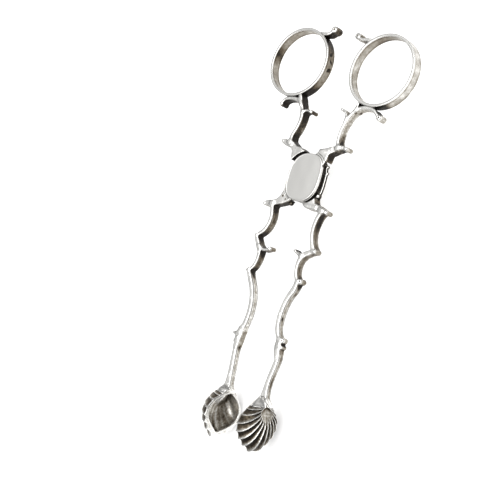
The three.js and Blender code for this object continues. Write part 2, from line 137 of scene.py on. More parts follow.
CASTINGS = {
    "front_ring_spur": {
        "even": 0.1,
        "strips": [(SPUR, [(9.2, 40.4, 1.2), (7.6, 40.6, 1.0), (6.0, 40.6, 0.9), (4.9, 41.0, 0.9),
                           (4.4, 41.6, 0.9)])],
        "knobs": [(4.25, 41.6, 0.95)],
        "clear_of_ring": "front_finger_ring",
    },
    "front_handle_scroll": {
        "even": -0.05,
        # The blot at (17.5, 21.0) is painted shadow, where the scroll's end meets the ring.
        "blots": [(8.0, 10.8, 1.6, 1.5, 0.45), (8.6, 13.0, 1.0, 1.2, 0.35), (10.4, 20.0, 2.4, 0.4, 0.8),
                  (11.2, 20.3, 1.0, 0.5, 0.8), (7.4, 19.3, 1.7, 1.0, 0.7), (17.5, 21.0, 1.2, 2.0, 0.6),
                  (6.4, 7.3, 1.5, 2.6, 0.8), (10.4, 9.2, 1.0, 1.6, 0.6)],
        "strips": [
            (SPUR, FRONT_ROOT),
            (SPUR, [(2.9, 8.1, 1.0), (4.5, 8.2, 1.3), (6.4, 8.8, 1.2)]),
            (SPUR, [(8.2, 9.4, 1.4), (9.8, 9.7, 1.2), (11.1, 9.6, 0.9)]),
            (SCROLL, [(8.4, 9.5, 1.3), (7.75, 11.5, 0.95), (7.7, 13.5, 0.9), (8.0, 15.5, 0.9),
                      (8.6, 17.4, 0.95), (9.5, 19.1, 1.0), (10.8, 20.5, 1.05), (12.6, 21.3, 1.05),
                      (14.8, 21.4, 1.05), (16.8, 20.8, 1.0), (18.1, 19.8, 0.9)]),
            (SPUR, [(8.3, 17.2, 0.9), (8.1, 18.9, 0.7), (7.3, 19.9, 0.6), (6.3, 20.3, 0.55)]),
            (SPUR, [(10.7, 20.6, 0.9), (11.1, 22.8, 0.7)]),
        ],
        "knobs": [(11.2, 9.5, 0.6), (18.9, 19.1, 0.85), (6.1, 20.3, 0.4)],
        "clear_of_ring": "front_finger_ring",
    },
    "front_arm_scroll": {
        "even": 0.3,
        "blots": [(-7.4, -9.4, 1.6, 1.6, 0.5), (-10.0, -18.4, 1.2, 1.5, 0.7), (-7.9, -23.0, 1.4, 1.2, 0.8),
                  (-9.8, -29.2, 1.4, 1.5, 0.9), (-5.0, -8.0, 1.2, 2.0, 0.4)],
        "strips": [
            (SPUR, FRONT_ARM_ROOT),
            (SPUR, [(-8.6, -8.7, 1.6), (-10.3, -8.9, 1.7), (-11.6, -9.2, 1.1)]),
            (SCROLL, [(-8.9, -9.0, 1.5), (-8.2, -11.0, 1.2), (-7.9, -13.0, 1.15), (-8.2, -15.0, 1.15),
                      (-9.0, -16.7, 1.15), (-10.3, -18.0, 1.1), (-11.5, -18.8, 0.8)]),
            (SCROLL, [(-11.3, -18.8, 1.0), (-10.5, -20.1, 1.4), (-9.5, -21.6, 1.5), (-8.7, -23.2, 1.4),
                      (-8.55, -24.8, 1.15), (-8.8, -26.4, 1.05), (-9.6, -28.0, 1.05), (-10.6, -28.8, 0.9),
                      (-11.2, -29.0, 0.6)]),
            (SPUR, [(-9.2, -21.7, 1.3), (-7.3, -22.3, 0.95), (-5.9, -22.0, 0.85), (-5.3, -21.7, 0.8)]),
        ],
        "knobs": [(-11.8, -9.3, 0.5), (-5.1, -21.6, 0.6)],
        "beads": [(-3.5, -7.6, 1.2, 0.8)],
        "dark_patches": [(-3.3, -7.6, 1.2, 1.3, 0.9), (-5.6, -6.3, 3.3, 0.35, 1.0), (-4.4, -7.1, 3.2, 0.3, 0.8)],
        "low": -29.3,
    },
    "front_arm_bow": {
        "even": -0.1,
        "blots": [(-9.9, -29.8, 1.4, 1.6, 0.9)],
        "strips": [(REEDED, [(-10.6, -28.8, 1.2), (-9.3, -31.0, 1.45), (-7.9, -33.2, 1.45), (-6.9, -35.5, 1.45),
                             (-6.3, -38.2, 1.45), (-6.15, -41.0, 1.45), (-6.5, -43.6, 1.45),
                             (-7.3, -46.2, 1.5)])],
        "knobs": [],
        "low": -46.0,
        "high": -29.3,
    },
    "front_collar": {
        "even": 0.0,
        "blots": [(-6.9, -46.1, 2.2, 0.6, 0.8)],
        "strips": [
            (SPUR, [(-7.1, -45.4, 2.1), (-7.4, -47.4, 2.3), (-7.4, -50.0, 1.7)]),
            (SPUR, [(-7.3, -46.4, 1.3), (-8.6, -46.9, 1.1), (-9.3, -47.0, 0.8)]),
            (SPUR, [(-7.4, -48.3, 1.4), (-8.3, -49.0, 0.9)]),
        ],
        "knobs": [],
        "low": -49.4,
        "high": -46.0,
    },
    "front_grip_stem": {
        "even": -0.1,
        "blots": [(-6.7, -50.6, 1.6, 0.9, 0.5)],
        "strips": [(REEDED, [(-7.4, -48.5, 1.6), (-7.4, -50.5, 1.5), (-7.15, -53.0, 1.5), (-6.8, -56.0, 1.55),
                             (-6.5, -59.0, 1.7), (-6.42, -61.2, 2.2), (-6.65, -63.0, 2.9),
                             (-7.0, -64.8, 3.4)])],
        "knobs": [],
        "low": node_box("front_grip_stem")[0][1],
        "high": -49.4,
    },
    "back_ring_spur": {
        "even": 0.45,
        "strips": [(SPUR, [(-9.4, 41.7, 1.2), (-7.8, 41.8, 1.0), (-6.3, 41.9, 0.9), (-5.3, 42.5, 0.9),
                           (-4.8, 43.2, 0.9)])],
        "knobs": [(-4.65, 43.2, 1.05)],
        "clear_of_ring": "back_finger_ring",
    },
    "back_handle_scroll": {
        "even": 0.5,
        "blots": [(-7.6, 9.9, 1.5, 1.8, 0.4), (-6.8, 18.0, 1.5, 1.5, 0.5), (-14.5, 20.6, 1.5, 1.8, 0.8),
                  (-9.0, 22.5, 1.5, 1.8, 0.8), (-7.0, 13.5, 1.0, 1.0, -0.3)],
        "strips": [
            (SPUR, BACK_ROOT),
            (SPUR, [(-8.3, 8.8, 1.5), (-10.2, 9.1, 1.8), (-11.4, 9.4, 1.2)]),
            (SCROLL, [(-8.9, 9.4, 1.4), (-8.8, 11.4, 1.1), (-7.95, 13.4, 1.05), (-7.5, 15.4, 1.1),
                      (-7.45, 17.4, 1.25), (-8.0, 19.3, 1.15), (-9.1, 20.9, 1.1), (-10.9, 21.9, 1.1),
                      (-13.2, 22.1, 1.05), (-15.2, 21.6, 0.95), (-16.2, 20.6, 0.85)]),
            (SPUR, [(-7.5, 18.4, 1.1), (-6.2, 18.95, 0.75), (-4.8, 18.8, 0.7)]),
            (SPUR, [(-8.9, 20.6, 1.2), (-9.7, 22.4, 1.4), (-10.4, 24.0, 0.9)]),
        ],
        "knobs": [(-11.5, 9.4, 0.55), (-16.2, 20.2, 0.7), (-4.4, 18.7, 0.55)],
        "clear_of_ring": "back_finger_ring",
    },
    "back_arm_scroll": {
        "even": 0.2,
        # The blot at (4.6, -20.4) is painted shadow on the wall of the inward spur.
        "blots": [(8.5, -12.0, 1.4, 1.5, 0.6), (4.6, -20.4, 1.5, 1.6, 0.9), (8.6, -10.0, 2.0, 1.0, 0.4),
                  (8.0, -27.6, 1.0, 1.0, 0.4)],
        "strips": [
            (SPUR, BACK_ARM_ROOT),
            (SPUR, [(3.1, -7.8, 0.9), (4.6, -7.9, 1.2), (6.6, -8.0, 1.1)]),
            (SPUR, [(8.6, -8.3, 1.5), (9.7, -8.4, 1.2), (10.4, -8.6, 1.0)]),
            (SCROLL, [(8.9, -8.7, 1.4), (8.2, -10.6, 1.25), (7.85, -12.5, 1.2), (7.85, -14.2, 1.2),
                      (8.2, -16.0, 1.2), (8.95, -17.8, 1.3), (9.6, -18.9, 1.4), (10.5, -19.6, 1.0)]),
            (SCROLL, [(10.4, -19.6, 1.0), (8.7, -20.3, 1.5), (7.2, -21.2, 1.6), (6.3, -22.5, 1.4),
                      (6.0, -24.0, 1.15), (6.15, -25.8, 1.05), (6.7, -27.4, 1.1), (7.5, -28.5, 1.2)]),
            (SPUR, [(6.6, -21.6, 1.2), (5.2, -21.2, 0.85), (4.1, -20.7, 0.7)]),
        ],
        "knobs": [(10.6, -8.6, 0.65), (10.6, -19.6, 0.45), (3.9, -20.6, 0.5), (8.4, -28.4, 0.8)],
        "low": -29.3,
    },
    "back_arm_bow": {
        "even": 0.0,
        "blots": [(7.7, -29.7, 1.4, 1.0, 1.0), (5.6, -39.6, 2.0, 0.45, 1.0), (7.4, -32.4, 1.2, 0.7, 0.4)],
        "strips": [(REEDED, [(7.5, -28.8, 1.4), (7.0, -31.0, 1.6), (6.1, -32.9, 1.5), (5.4, -35.0, 1.45),
                             (5.0, -37.5, 1.45), (4.95, -40.0, 1.4), (5.4, -42.5, 1.35), (6.3, -44.2, 1.3),
                             (7.4, -45.2, 1.35)])],
        "knobs": [(8.1, -45.1, 0.8)],
        "low": -46.0,
        "high": -29.3,
    },
    "back_collar": {
        "even": 0.1,
        "blots": [(8.2, -46.0, 1.6, 0.8, 0.9)],
        "strips": [
            (SPUR, [(7.1, -45.4, 1.9), (7.1, -46.9, 2.1), (7.6, -49.2, 1.6)]),
            (SPUR, [(7.3, -46.6, 1.2), (8.4, -46.9, 1.0)]),
        ],
        "knobs": [],
        "low": -48.7,
        "high": -46.0,
    },
    "back_grip_stem": {
        "even": 0.0,
        "blots": [(7.8, -57.0, 2.0, 1.8, 0.3), (8.2, -50.0, 1.2, 0.8, 0.3)],
        "strips": [(REEDED, [(7.5, -48.2, 1.6), (8.05, -50.4, 1.5), (7.85, -52.6, 1.5), (7.45, -55.0, 1.5),
                             (7.2, -58.0, 1.6), (7.25, -60.8, 2.2), (7.5, -62.6, 2.9), (7.9, -64.4, 3.4)])],
        "knobs": [],
        "low": node_box("back_grip_stem")[0][1],
        "high": -48.7,
    },
}

# Dark blots in a bowl: (down, across, radius, amount).
SHELL_BLOTS = [(8.2, -2.8, 2.4, 1.15), (4.0, -1.0, 2.3, 0.65), (6.4, 0.0, 4.5, 0.2), (11.2, 0.0, 0.7, 0.4),
               (9.0, 2.6, 1.8, -0.2)]
SHELLS = {
    "front_shell": {"rim": (-5.25, -68.8), "facing": 1, "skew": math.radians(4), "blots": SHELL_BLOTS},
    "back_shell": {"rim": (6.1, -68.4), "facing": -1, "skew": math.radians(-6), "blots": SHELL_BLOTS},
}
SHELL = {
    "half_breadth": 6.3,
    "length": 14.8,
    "umbo_inset": 1.2,
    "umbo_height": 3.3,
    "height": 6.0,
    "wall": 1.1,
    "flutes": 15,
    "flute_depth": 0.7,
    "flute_span": math.radians(165),
    "flute_start": (0.24, 0.5),  # shares of the way from the umbo to the rim where the flutes rise
    "scallop": 0.06,
    "tip_lip": 1.3,
    "lip_shade": 0.14,
    "turn": math.radians(-12),  # of both rims, about the arms
    "up": 0.42,  # the share of the shell's length above its rim point
}
# The flare from the stem into the shell: an oval taper along the arm, low from back to front.
FLARE = {"height": 1.7, "flatness": 1.5, "start": (0, -1.0, 0), "end": (0, 3.4, 0), "radii": (0.85, 3.6)}
RIM_OUTLINE = [(0, 0.14), (0.08, 0.33), (0.19, 0.62), (0.33, 0.9), (0.47, 1), (0.61, 0.95), (0.75, 0.76),
               (0.87, 0.49), (0.96, 0.2)]
CLOSING_ANGLE = math.radians(9.4)


# ---- Curves and distances ----


def smooth_curve(points, closed=False, spacing=0.22):
    """A centripetal Catmull-Rom curve through the points, sampled closely. Extra columns ride along."""
    points = np.array(points, float)
    if closed:
        around = np.vstack([points[-1], points, points[:2]])
    else:
        around = np.vstack([2 * points[0] - points[1], points, 2 * points[-1] - points[-2]])
    samples = []
    for p0, p1, p2, p3 in zip(around, around[1:], around[2:], around[3:]):
        d0, d1, d2 = (max(np.linalg.norm(b - a) ** 0.5, 1e-4) for a, b in ((p0, p1), (p1, p2), (p2, p3)))
        start = d1 * ((p1 - p0) / d0 - (p2 - p0) / (d0 + d1) + (p2 - p1) / d1)
        end = d1 * ((p2 - p1) / d1 - (p3 - p1) / (d1 + d2) + (p3 - p2) / d2)
        count = max(2, math.ceil(np.linalg.norm(p2 - p1) / spacing))
        t = (np.arange(count) / count)[:, None]
        samples.append(
            (2 * t**3 - 3 * t**2 + 1) * p1 + (t**3 - 2 * t**2 + t) * start
            + (3 * t**2 - 2 * t**3) * p2 + (t**3 - t**2) * end
        )
    samples.append(points[:1] if closed else points[-1:])
    return np.vstack(samples)


def strip_distance(stations, x, y):
    """Distance from a tapered strip's edge, negative inside, and how far from its nearer end a point lies."""
    curve = smooth_curve(stations)
    distance = np.full(x.shape, 1e3)
    along = np.zeros(x.shape)
    travelled = 0.0
    for (ax, ay, aw), (bx, by, bw) in zip(curve, curve[1:]):
        length = math.hypot(bx - ax, by - ay)
        t = np.clip(((x - ax) * (bx - ax) + (y - ay) * (by - ay)) / length**2, 0, 1)
        here = np.hypot(x - ax - t * (bx - ax), y - ay - t * (by - ay)) - (aw + t * (bw - aw)) / 2
        nearer = here < distance
        distance = np.where(nearer, here, distance)
        along = np.where(nearer, travelled + t * length, along)
        travelled += length
    return distance, np.minimum(along, travelled - along)


def join(a, b, blend):
    """Smooth union."""
    overlap = np.maximum(blend - np.abs(a - b), 0)
    return np.minimum(a, b) - overlap**2 / (4 * blend)


def cut(a, b, blend):
    """Smooth intersection."""
    return -join(-a, -b, blend)


def round_edge(a, b, radius):
    """Intersection with a round edge."""
    outside = np.hypot(np.maximum(a + radius, 0), np.maximum(b + radius, 0))
    return outside + np.minimum(np.maximum(a, b) + radius, 0) - radius


def smoothstep(low, high, value):
    """0 below low, 1 above high, smooth between."""
    t = np.clip((value - low) / (high - low), 0, 1)
    return t * t * (3 - 2 * t)


class Grid:
    """Points on a regular grid round a box, in millimetres."""

    def __init__(self, low, high, step):
        self.step = step
        self.low = np.array(low, float) - PAD * step
        counts = np.ceil((np.array(high) - self.low) / step).astype(int) + PAD + 1
        axes = [self.low[i] + step * np.arange(counts[i]) for i in range(3)]
        self.x = axes[0][:, None, None]
        self.y = axes[1][None, :, None]
        self.z = axes[2][None, None, :]
        self.shape = tuple(counts)

    def plan(self):
        """The grid's x and y alone, as two flat arrays of the plan's shape."""
        return np.broadcast_arrays(self.x[:, :, 0], self.y[:, :, 0])


def blur(field, radius):
    """A box average over each axis in turn."""
    for axis in range(3):
        padding = [(0, 0)] * 3
        padding[axis] = (radius + 1, radius)
        total = np.cumsum(np.pad(field, padding, mode="edge"), axis=axis, dtype=float)
        high = np.take(total, range(2 * radius + 1, total.shape[axis]), axis=axis)
        low = np.take(total, range(0, total.shape[axis] - 2 * radius - 1), axis=axis)
        field = (high - low) / (2 * radius + 1)
    return field


def surface_net(field, grid):
    """The zero surface of a field as (points, quads): one point in each cell that the surface crosses."""
    field = np.where(field == 0, 1e-9, field)
    _, ny, nz = field.shape
    strides = np.array([ny * nz, nz, 1])
    cells, crossings, flips = [], [], []
    for axis in range(3):
        here = [slice(None)] * 3
        there = [slice(None)] * 3
        here[axis], there[axis] = slice(None, -1), slice(1, None)
        a, b = field[tuple(here)], field[tuple(there)]
        i = np.argwhere((a < 0) != (b < 0))
        va, vb = a[tuple(i.T)], b[tuple(i.T)]
        point = i.astype(float)
        point[:, axis] += va / (va - vb)
        sides = [k for k in range(3) if k != axis]
        corner = i @ strides
        around = [(0, 0), (1, 0), (1, 1), (0, 1)]
        cells.append(np.stack([corner - p * strides[sides[0]] - q * strides[sides[1]] for p, q in around], 1))
        crossings.append(point)
        flips.append((va < 0) == (axis == 1))
    cells, crossings, flips = np.vstack(cells), np.vstack(crossings), np.concatenate(flips)
    index = np.unique(cells, return_inverse=True)[1].reshape(-1)
    repeated = np.repeat(crossings, 4, axis=0)
    count = np.bincount(index)
    points = np.stack([np.bincount(index, repeated[:, k]) / count for k in range(3)], 1)
    quads = index.reshape(-1, 4)
    quads[flips] = quads[flips, ::-1]
    return points, quads


def sample(field, points):
    """Trilinear samples at points given in grid steps."""
    base = np.clip(np.floor(points).astype(int), 0, np.array(field.shape) - 2)
    t = points - base
    value = 0
    for corner in np.ndindex(2, 2, 2):
        weight = np.prod(np.where(corner, t, 1 - t), axis=1)
        value = value + weight * field[tuple((base + corner).T)]
    return value


def relax(points, quads, rounds=2):
    """Evens out the mesh: each point moves towards its neighbours' mean, then back out a little."""
    a = quads.ravel()
    b = np.roll(quads, -1, axis=1).ravel()
    count = np.bincount(a, minlength=len(points))[:, None]
    for _ in range(rounds):
        for push in (0.5, -0.53):
            mean = np.stack([np.bincount(a, points[b, k], len(points)) for k in range(3)], 1) / count
            points = points + push * (mean - points)
    return points


# ---- Turning points into Blender pieces ----

WAVES = [(rng.normal(size=3), rng.uniform(0, 2 * math.pi)) for _ in range(10)]


def unevenness(points, wavelength):
    """A gentle random swell, about -1 to 1."""
    total = 0
    for direction, phase in WAVES:
        total = total + np.sin(points @ direction * (2 * math.pi / wavelength) / 1.7 + phase)
    return total / 3.2


def vertex_normals(points, faces):
    """Each point's normal, weighted by the area of the quads round it."""
    corners = points[faces]
    normal = np.cross(corners[:, 2] - corners[:, 0], corners[:, 3] - corners[:, 1])
    total = np.zeros_like(points)
    for k in range(4):
        for axis in range(3):
            total[:, axis] += np.bincount(faces[:, k], normal[:, axis], len(points))
    return total / np.maximum(np.linalg.norm(total, axis=1, keepdims=True), 1e-12)


def weathered(points, faces, swell=0.025, pits=0):
    """Adds the unevenness of a casting, and shallow pits at random."""
    normal = vertex_normals(points, faces)
    depth = swell * unevenness(points, 4.0) + 0.4 * swell * unevenness(points, 1.3)
    for centre in points[rng.integers(0, len(points), pits)]:
        size = rng.uniform(0.12, 0.3)
        depth = depth - 0.3 * size * np.exp(-(np.linalg.norm(points - centre, axis=1) / size) ** 2)
    return points + normal * depth[:, None]


def make_piece(node, points, faces, material, openness=None, stain_and_shade=None):
    """A smooth mesh that stands for a CAD node and rides on its body."""
    mesh = bpy.data.meshes.new(f"{node}_fine")
    mesh.from_pydata((points * MM).tolist(), [], [list(face) for face in faces])
    mesh.validate()
    mesh.shade_smooth()
    for name, values, usual in (("open", openness, 0.5), ("stain_and_shade", stain_and_shade, 0.0)):
        values = np.full(len(points), usual) if values is None else values
        mesh.attributes.new(name, "FLOAT", "POINT").data.foreach_set("value", values.astype(np.float32))
    mesh.materials.append(MATERIALS[material])
    piece = bpy.data.objects.new(f"{node}_fine", mesh)
    bpy.context.scene.collection.objects.link(piece)
    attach(piece, "front_arm" if node.startswith("front") else "back_arm")
    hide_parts(node)
    return piece


def sculpt(node, field, grid, material, swell=0.025, pits=0, uncut=None, stain_and_shade=None, tarnish_and_shade=None):
    """Meshes a distance field. Openness is low in hollows and high on edges."""
    points, quads = surface_net(field, grid)
    whole = field if uncut is None else uncut
    wide = sample(blur(np.clip(whole, -0.6, 0.6), max(1, round(0.5 / grid.step))), points)
    narrow = sample(blur(np.clip(whole, -0.3, 0.3), max(1, round(0.2 / grid.step))), points)
    openness = 0.5 + 0.9 * wide + 3.0 * narrow
    stains_and_shade = np.zeros(len(points)) if stain_and_shade is None else sample(stain_and_shade, points)
    points = grid.low + relax(points, quads) * grid.step
    if tarnish_and_shade is not None:
        normal = vertex_normals(points, quads)
        stains_and_shade = stains_and_shade + blotted(points, normal, tarnish_and_shade)
    make_piece(node, weathered(points, quads, swell, pits), quads, material, openness, stains_and_shade)


def blotted(points, normal, tarnish_and_shade):
    """Darkening: an even amount and blots on the side walls, which are tarnish with painted shade, and dark
    patches on any side. A blot or a dark patch is (x, y, z, radius, amount)."""
    wall = smoothstep(0.15, 0.6, 1 - np.abs(normal[:, 2]))
    amount = np.full(len(points), float(tarnish_and_shade["even"]))
    for x, y, z, radius, strength in tarnish_and_shade.get("blots", []):
        away = np.linalg.norm(points - (x, y, z), axis=1) / radius
        amount = amount + strength * np.exp(-(away**2))
    amount = wall * amount
    for x, y, z, radius, strength in tarnish_and_shade.get("dark_patches", []):
        away = np.linalg.norm(points - (x, y, z), axis=1) / radius
        amount = amount + strength * np.exp(-(away**4))
    return amount


# ---- Castings ----


def half_depth(y):
    """Half the depth of a casting at a height along Y."""
    t = np.clip(y / DEPTH_SHARE["shells_y"], 0, 1)
    return MIDDLE * (DEPTH_SHARE["hinge"] + t * (DEPTH_SHARE["shells"] - DEPTH_SHARE["hinge"]))


def strip_field(grid, style, stations, low=None, high=None):
    """A strip on edge, with crowned faces and hollowed walls, as deep as its place along the arm."""
    x, y = grid.plan()
    flat, from_end = strip_distance(stations, x, y)
    half = half_depth(y)[:, :, None]
    middle = MIDDLE
    if low is not None:
        half = np.full_like(half, (high - low) / 2)
        middle = (high + low) / 2
    across = (grid.z - middle) / half
    fade = smoothstep(0.3, 1.6, from_end)[:, :, None]
    hollow = style["hollow"] * np.clip(1 - across**2, 0, 1)
    groove = style["groove"] * np.exp(-(((np.abs(across) - 0.62) / 0.11) ** 2))
    inset = np.clip(1 + flat / 0.6, 0, 1)[:, :, None] ** 2
    face = np.abs(grid.z - middle) - half + CROWN * inset
    return round_edge(flat[:, :, None] + (hollow + groove) * fade, face, EDGE)


def knob_field(grid, x, y, radius):
    """The rolled end of a scroll: a round post with a dimple in each face."""
    flat = np.hypot(grid.x - x, grid.y - y)
    half = half_depth(y)
    face = np.abs(grid.z - MIDDLE) - half
    post = round_edge(flat - radius, face, min(0.75 * radius, 0.5))
    dimple = np.sqrt(flat**2 + (face - 0.05) ** 2) - 0.3 * radius
    return cut(post, -dimple, 0.1)


def bead_field(grid, x, y, z, radius):
    """A small lump of solder or casting metal."""
    return np.sqrt((grid.x - x) ** 2 + (grid.y - y) ** 2 + (grid.z - z) ** 2) - radius


def ring_place(node):
    """A finger ring's centre and outer radius."""
    low, high = node_box(node)
    return (low + high)[:2] / 2, (high - low)[0] / 2


def neighbours(node):
    """A casting and the ones soldered to its cut ends, so that they flow into each other."""
    for arm in ("front", "back"):
        chain = [f"{arm}_{name}" for name in ("arm_scroll", "arm_bow", "collar", "grip_stem")]
        if node in chain:
            place = chain.index(node)
            return [CASTINGS[other] for other in chain[max(place - 1, 0) : place + 2]]
    return [CASTINGS[node]]


def casting(node, plan):
    """A casting's strips, knobs and beads, flowing into its neighbours and cut off where it ends."""
    low, high = node_box(node)
    grid = Grid(low - 0.1, high + 0.1, STEP if high[1] - low[1] > 5 else STEP * 0.75)
    field = np.full(grid.shape, 1e3)
    for part in neighbours(node):
        for style, stations in part["strips"]:
            ys = [y for _, y, _ in stations]
            if min(ys) - 3 < high[1] and max(ys) + 3 > low[1]:
                field = join(field, strip_field(grid, style, stations), FILLET)
        for knob in part["knobs"]:
            field = join(field, knob_field(grid, *knob), 0.3)
    for bead in plan.get("beads", []):
        field = join(field, bead_field(grid, *bead), 0.2)
    uncut = field
    if "scroll" in node:
        field = np.maximum(field, CASTING_RADIUS - np.hypot(grid.x, grid.y))
    if "clear_of_ring" in plan:
        (x, y), radius = ring_place(plan["clear_of_ring"])
        field = np.maximum(field, radius + SOLDER - np.hypot(grid.x - x, grid.y - y))
    if "low" in plan:
        field = np.maximum(field, plan["low"] - OVERLAP - grid.y)
    if "high" in plan:
        field = np.maximum(field, grid.y - plan["high"] - OVERLAP)
    tarnish_and_shade = {**plan, "dark_patches": list(plan.get("dark_patches", []))}
    # Painted shade: a dark patch in the dimple on each face of every knob.
    for x, y, radius in plan["knobs"]:
        strength = 0.75 * smoothstep(0.3, 0.7, radius)
        for side in (-1, 1):
            face = MIDDLE + side * (half_depth(y) - 0.1)
            tarnish_and_shade["dark_patches"].append((x + 0.15 * radius, y, face, 0.42 * radius, strength))
    pits = round(PITS_PER_MM * (high[1] - low[1]))
    sculpt(node, field, grid, "cast_silver", 0.018, pits, uncut, tarnish_and_shade=tarnish_and_shade)


# ---- The hinge ----


def oval_distance(x, y, margin):
    """Distance from the edge of the front cover's oval grown by a margin, measured along the radius."""
    n = np.where(x * y > 0, SQUARE_AT_ROOTS, SQUARE_BETWEEN)
    half_width = np.where(x < 0, WIDE, NARROW) + margin
    share = ((np.abs(x) / half_width) ** n + (np.abs(y) / (HALF_HEIGHT + margin)) ** n) ** (1 / n)
    return np.hypot(x, y) * (1 - 1 / np.maximum(share, 1e-6))


def oval_loop(count, inset, share, z):
    """The front cover's outline at a height, drawn in by an inset and then shrunk to a share."""
    angle = np.arange(count) / count * 2 * math.pi
    across, up = np.cos(angle), np.sin(angle)
    power = 2 / np.where(across * up > 0, SQUARE_AT_ROOTS, SQUARE_BETWEEN)
    half_width = np.where(across < 0, WIDE, NARROW) - inset
    x = np.sign(across) * np.abs(across) ** power * half_width * share
    y = np.sign(up) * np.abs(up) ** power * (HALF_HEIGHT - inset) * share
    return np.column_stack([x, y, np.full(count, z)])


def hinge_plate(node, roots, beads):
    """One half of the box hinge, with seats for its cover and for the rivet's head. The back half is worked in
    the front's place and turned over at the end, and its oval is the front's mirror image."""
    is_back = node.startswith("back")
    low, high = node_box(node)
    if is_back:
        low[2], high[2] = DEPTH - high[2], DEPTH - low[2]
    grid = Grid(low - 0.1, high + 0.1, STEP * 0.85)
    oval_x = -grid.x if is_back else grid.x
    from_axis = np.hypot(grid.x, grid.y)
    oval = oval_distance(oval_x, grid.y, COVER_MARGIN)
    field = round_edge(oval, np.maximum(PLATE_FLOOR - grid.z, grid.z - COVER_FLOOR + SOLDER), 0.15)
    for stations in roots:
        lug = strip_field(grid, SPUR, stations, low=PLATE_FLOOR, high=LUG_TOP)
        field = join(field, np.maximum(lug, from_axis - CASTING_RADIUS + SOLDER), 0.25)
    for bead in beads:
        field = join(field, bead_field(grid, *bead), 0.15)
    cover_seat = np.maximum(oval_distance(oval_x, grid.y, SOLDER), COVER_FLOOR - SOLDER - grid.z)
    field = cut(field, -cover_seat, 0.08)
    field = np.maximum(field, BORE - from_axis)
    head_radius = (RIVET_BOX[1] - RIVET_BOX[0])[0] / 2
    head_floor = RIVET_BOX[1][2] - RIVET["seat"]
    head_seat = np.maximum(from_axis - head_radius - RIVET["clearance"], head_floor - grid.z)
    field = np.maximum(field, -head_seat)
    if is_back:
        field = field[:, :, ::-1]
        grid.low[2] = DEPTH - (grid.low[2] + grid.step * (field.shape[2] - 1))
    sculpt(node, field, grid, "cast_silver", swell=0.015, pits=12, tarnish_and_shade=PLATE_TARNISH_AND_SHADE[node])


def loft(loops, closed=False):
    """Skins a run of loops of the same number of points. A closed run joins its last loop to its first."""
    loops = np.array(loops)
    rows, count, _ = loops.shape
    points = loops.reshape(-1, 3)
    row = np.arange(rows if closed else rows - 1)[:, None]
    column = np.arange(count)[None, :]
    following = (row + 1) % rows
    faces = np.stack(
        [row * count + column, row * count + (column + 1) % count, following * count + (column + 1) % count,
         following * count + column], -1,
    ).reshape(-1, 4)
    return points, faces


def capped(points, faces, count):
    """Closes a loft's two open ends with fans of quads round a centre point."""
    first, last = points[:count].mean(0), points[-count:].mean(0)
    points = np.vstack([points, first, last])
    start, end = len(points) - 2, len(points) - 1
    base = len(points) - 2 - count
    fans = []
    for i in range(0, count, 2):
        fans.append([start, (i + 2) % count, (i + 1) % count, i])
        fans.append([end, base + i, base + (i + 1) % count, base + (i + 2) % count])
    return points, np.vstack([faces, fans])


def cover_plate(node):
    """A smooth oval plate, bevelled and worn soft at its rim."""
    count = 192
    middle_inset, sink = 0.52, 0.035
    loops = [oval_loop(count, 0, share, COVER_FLOOR) for share in (0.05, 0.4, 0.8)]
    rim = [(0.04, COVER_FLOOR), (0, COVER_FLOOR + 0.05)]
    quarter = np.linspace(0, math.pi / 2, 7)
    rim += [(COVER_BEVEL * (1 - math.cos(a)), DEPTH - COVER_BEVEL * (1 - math.sin(a))) for a in quarter]
    rim += [(0.34, DEPTH - 0.012), (0.42, DEPTH - 0.03), (middle_inset, DEPTH - sink)]
    loops += [oval_loop(count, inset, 1, z) for inset, z in rim]
    for share in np.linspace(0.95, 0.04, 22):
        loops.append(oval_loop(count, middle_inset, share, DEPTH - sink + 0.03 * (1 - share**2)))
    points, faces = capped(*loft(loops), count)
    face = smoothstep(COVER_FLOOR + 0.2, DEPTH, points[:, 2])
    points[:, 2] += 0.012 * face * unevenness(points, 5.0) - 0.006
    if node.startswith("back"):
        points = (0, 0, DEPTH) + points * (-1, 1, -1)
    make_piece(node, points, faces, "polished_silver", np.full(len(points), 0.55))


def turned(profile, count):
    """Turns a profile of (radius, z) about the Z axis."""
    angle = np.arange(count) / count * 2 * math.pi
    return [np.column_stack([r * np.cos(angle), r * np.sin(angle), np.full(count, z)]) for r, z in profile]


def rounded_band(inner, outer, low, high, radius, along_wall=12, corner=5):
    """The closed profile of a band with round edges, anticlockwise from the inner wall's top."""
    profile = []
    for cx, cz, start in (
        (inner + radius, low + radius, math.pi),
        (outer - radius, low + radius, 1.5 * math.pi),
        (outer - radius, high - radius, 0),
        (inner + radius, high - radius, 0.5 * math.pi),
    ):
        for a in np.linspace(start, start + math.pi / 2, corner):
            profile.append((cx + radius * math.cos(a), cz + radius * math.sin(a)))
        if start in (1.5 * math.pi, 0.5 * math.pi):
            wall = inner if start < math.pi else outer
            ends = (high - radius, low + radius) if start < math.pi else (low + radius, high - radius)
            profile += [(wall, z) for z in np.linspace(*ends, along_wall + 2)[1:-1]]
    return profile


# Darkening on each ring's two walls, as (turn in degrees, spread in degrees, outer wall, inner wall): tarnish,
# with painted shadow where the front handle scroll meets the front ring (-72) and painted shade on the front
# ring's upper inner wall (100).
RING_STAINS_AND_SHADE = {
    "front_finger_ring": [(0, 400, 0.14, 0.2), (100, 45, 0, 0.3), (-72, 9, 0.8, 0), (-40, 35, 0.06, 0),
                          (215, 40, 0, 0.1)],
    "back_finger_ring": [(0, 400, 0.35, 0.38), (52, 20, 0.75, 0), (-62, 22, 0.8, 0), (165, 14, 0, 0.4),
                         (20, 30, 0.2, 0)],
}
# Dents in the back ring's outer wall: (turn in degrees, height as a share of the depth, size, depth, slant).
PUNCHES = [(17, 0.5, 0.62, 0.2, 0.5), (5, 0.42, 0.5, 0.18, -0.6), (-8, 0.4, 0.68, 0.22, 0.3)]


